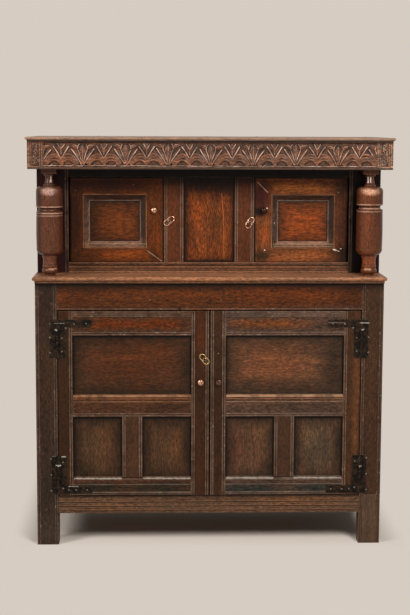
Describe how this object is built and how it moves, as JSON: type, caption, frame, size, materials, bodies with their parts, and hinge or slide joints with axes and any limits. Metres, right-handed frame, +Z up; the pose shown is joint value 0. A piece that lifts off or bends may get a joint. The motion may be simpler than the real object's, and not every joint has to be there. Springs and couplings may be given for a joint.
{
  "type": "press cupboard",
  "caption": "Joined oak press cupboard in two stages: panelled doors below, set-back doors above, and a carved canopy on turned columns.",
  "frame": {"origin": "on the floor, at the centre of the cupboard's outer box", "axes": "+X to the right as seen from the front, +Y to the back, +Z up"},
  "size_m": [1.408, 0.566, 1.595],
  "materials": {
    "frame_oak": "dark waxed oak with greyed, worn moulding edges",
    "panel_oak": "waxed oak, reddish in the middle of the panel and dark at its edges",
    "turned_oak": "polished reddish turned oak",
    "carved_oak": "carved oak, dark in the hollows and rubbed on the high parts",
    "worn_board_oak": "worn waxed oak boards with a rubbed tan edge",
    "plain_inner_oak": "dry unpolished oak",
    "wrought_iron": "blackened wrought iron",
    "old_brass": "old coppery brass, dull with bright rubbed edges"
  },
  "bodies": {
    "carcase": {"front_post_left": "frame_oak", "front_post_right": "frame_oak", "spliced_foot_right": "frame_oak", "rear_posts": "plain_inner_oak", "lower_top_rail": "frame_oak", "lower_bottom_rail": "frame_oak", "lower_side_rails": "frame_oak", "lower_side_panels": "panel_oak", "back_rails": "plain_inner_oak", "lower_back_boards": "plain_inner_oak", "floor_boards": "plain_inner_oak", "shelf_boards": "plain_inner_oak", "bearers": "plain_inner_oak", "waist_board": "worn_board_oak", "upper_posts": "frame_oak", "upper_rear_posts": "plain_inner_oak", "upper_head_rail": "frame_oak", "upper_sill_rail": "frame_oak", "upper_muntins": "frame_oak", "centre_panel": "panel_oak", "upper_side_rails": "frame_oak", "upper_side_panels": "panel_oak", "upper_back_boards": "plain_inner_oak", "column_left": "turned_oak", "column_right": "turned_oak", "frieze_board": "carved_oak", "frieze_end_blocks": "carved_oak", "canopy_side_rails": "carved_oak", "soffit_boards": "plain_inner_oak", "top_boards": "worn_board_oak", "door_stops": "plain_inner_oak", "post_hinge_leaves": "wrought_iron", "hinge_pins": "wrought_iron", "pivot_pins": "wrought_iron", "upper_button_screws": "wrought_iron"},
    "lower_left_door": {"lower_left_stiles": "frame_oak", "lower_left_rails": "frame_oak", "lower_left_muntin": "frame_oak", "lower_left_panels": "panel_oak", "lower_left_hinge_leaves": "wrought_iron", "lower_left_knob": "old_brass", "lower_button_screw": "wrought_iron"},
    "lower_right_door": {"lower_right_stiles": "frame_oak", "lower_right_rails": "frame_oak", "lower_right_muntin": "frame_oak", "lower_right_panels": "panel_oak", "lower_right_hinge_leaves": "wrought_iron", "lower_right_knob": "old_brass"},
    "upper_left_door": {"upper_left_frame": "frame_oak", "upper_left_mouldings": "frame_oak", "upper_left_panel": "panel_oak", "upper_left_knob": "old_brass"},
    "upper_right_door": {"upper_right_frame": "frame_oak", "upper_right_mouldings": "frame_oak", "upper_right_panel": "panel_oak", "upper_right_knob": "old_brass"},
    "lower_turn_button": {"lower_turn_button": "old_brass"},
    "upper_left_turn_button": {"upper_left_turn_button": "old_brass"},
    "upper_right_turn_button": {"upper_right_turn_button": "old_brass"}
  },
  "joints": [
    {"name": "lower_left_door_hinge", "type": "hinge", "parent": "carcase", "child": "lower_left_door", "pos_m": [-0.59, -0.2492, 0.564], "axis": [0, 0, -1], "range_deg": [0, 170]},
    {"name": "lower_right_door_hinge", "type": "hinge", "parent": "carcase", "child": "lower_right_door", "pos_m": [0.59, -0.2492, 0.564], "axis": [0, 0, 1], "range_deg": [0, 170]},
    {"name": "upper_left_door_hinge", "type": "hinge", "parent": "carcase", "child": "upper_left_door", "pos_m": [-0.538, -0.096, 1.272], "axis": [0, 0, -1], "range_deg": [0, 94]},
    {"name": "upper_right_door_hinge", "type": "hinge", "parent": "carcase", "child": "upper_right_door", "pos_m": [0.538, -0.096, 1.272], "axis": [0, 0, 1], "range_deg": [0, 94]},
    {"name": "lower_turn_button_spin", "type": "hinge", "parent": "lower_left_door", "child": "lower_turn_button", "pos_m": [-0.02097, -0.243, 0.739], "axis": [0, -1, 0], "continuous": true},
    {"name": "upper_left_turn_button_spin", "type": "hinge", "parent": "carcase", "child": "upper_left_turn_button", "pos_m": [-0.15705, -0.107, 1.267], "axis": [0, -1, 0], "continuous": true},
    {"name": "upper_right_turn_button_spin", "type": "hinge", "parent": "carcase", "child": "upper_right_turn_button", "pos_m": [0.16065, -0.107, 1.261], "axis": [0, -1, 0], "continuous": true}
  ]
}
